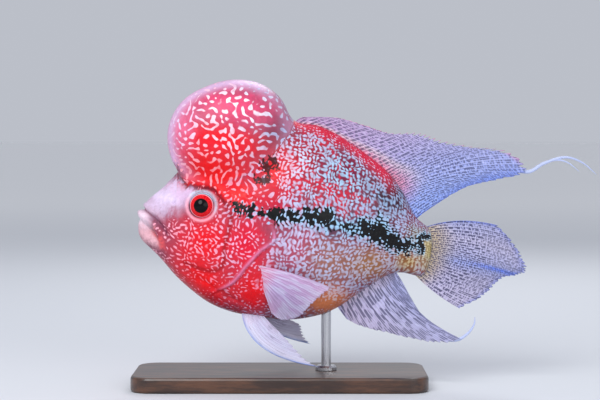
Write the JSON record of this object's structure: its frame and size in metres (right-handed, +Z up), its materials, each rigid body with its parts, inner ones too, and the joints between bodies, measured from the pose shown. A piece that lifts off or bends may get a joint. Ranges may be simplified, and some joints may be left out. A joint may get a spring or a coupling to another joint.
{
  "type": "flowerhorn cichlid model on a display stand",
  "caption": "Still life-size flowerhorn cichlid with nuchal hump and spread fins, held nose-up over a flat base by one rod.",
  "frame": {"origin": "middle of the base's underside", "axes": "+X from the fish's nose towards its tail, +Y towards the fish's right side, +Z up from the floor"},
  "size_m": [0.3027, 0.078, 0.1992],
  "materials": {
    "skin_red": "wet, fine-scaled skin, red with pale worm-shaped lines and dots",
    "skin_flank": "wet, scaled skin, pale blue dashes over red, purple and brown, with a row of dark blotches",
    "eye": "glossy, black pupil in a red iris",
    "fin": "thin rayed membrane, lavender and blue with dark ray rows",
    "fin_clear": "milky, see-through membrane with pink roots",
    "stand_base": "dark stained, satin",
    "stand_rod": "satin"
  },
  "bodies": {
    "root": {"head": "skin_red", "lower_jaw": "skin_red", "nuchal_hump": "skin_red", "gill_cover_left": "skin_red", "gill_cover_right": "skin_red", "torso": "skin_flank", "tail_stalk": "skin_flank", "eye_left": "eye", "eye_right": "eye", "dorsal_fin": "fin", "caudal_fin": "fin", "anal_fin": "fin", "pectoral_fin_left": "fin_clear", "pectoral_fin_right": "fin_clear", "pelvic_fin_left": "fin", "pelvic_fin_right": "fin", "stand_base": "stand_base", "stand_rod": "stand_rod"}
  },
  "joints": []
}
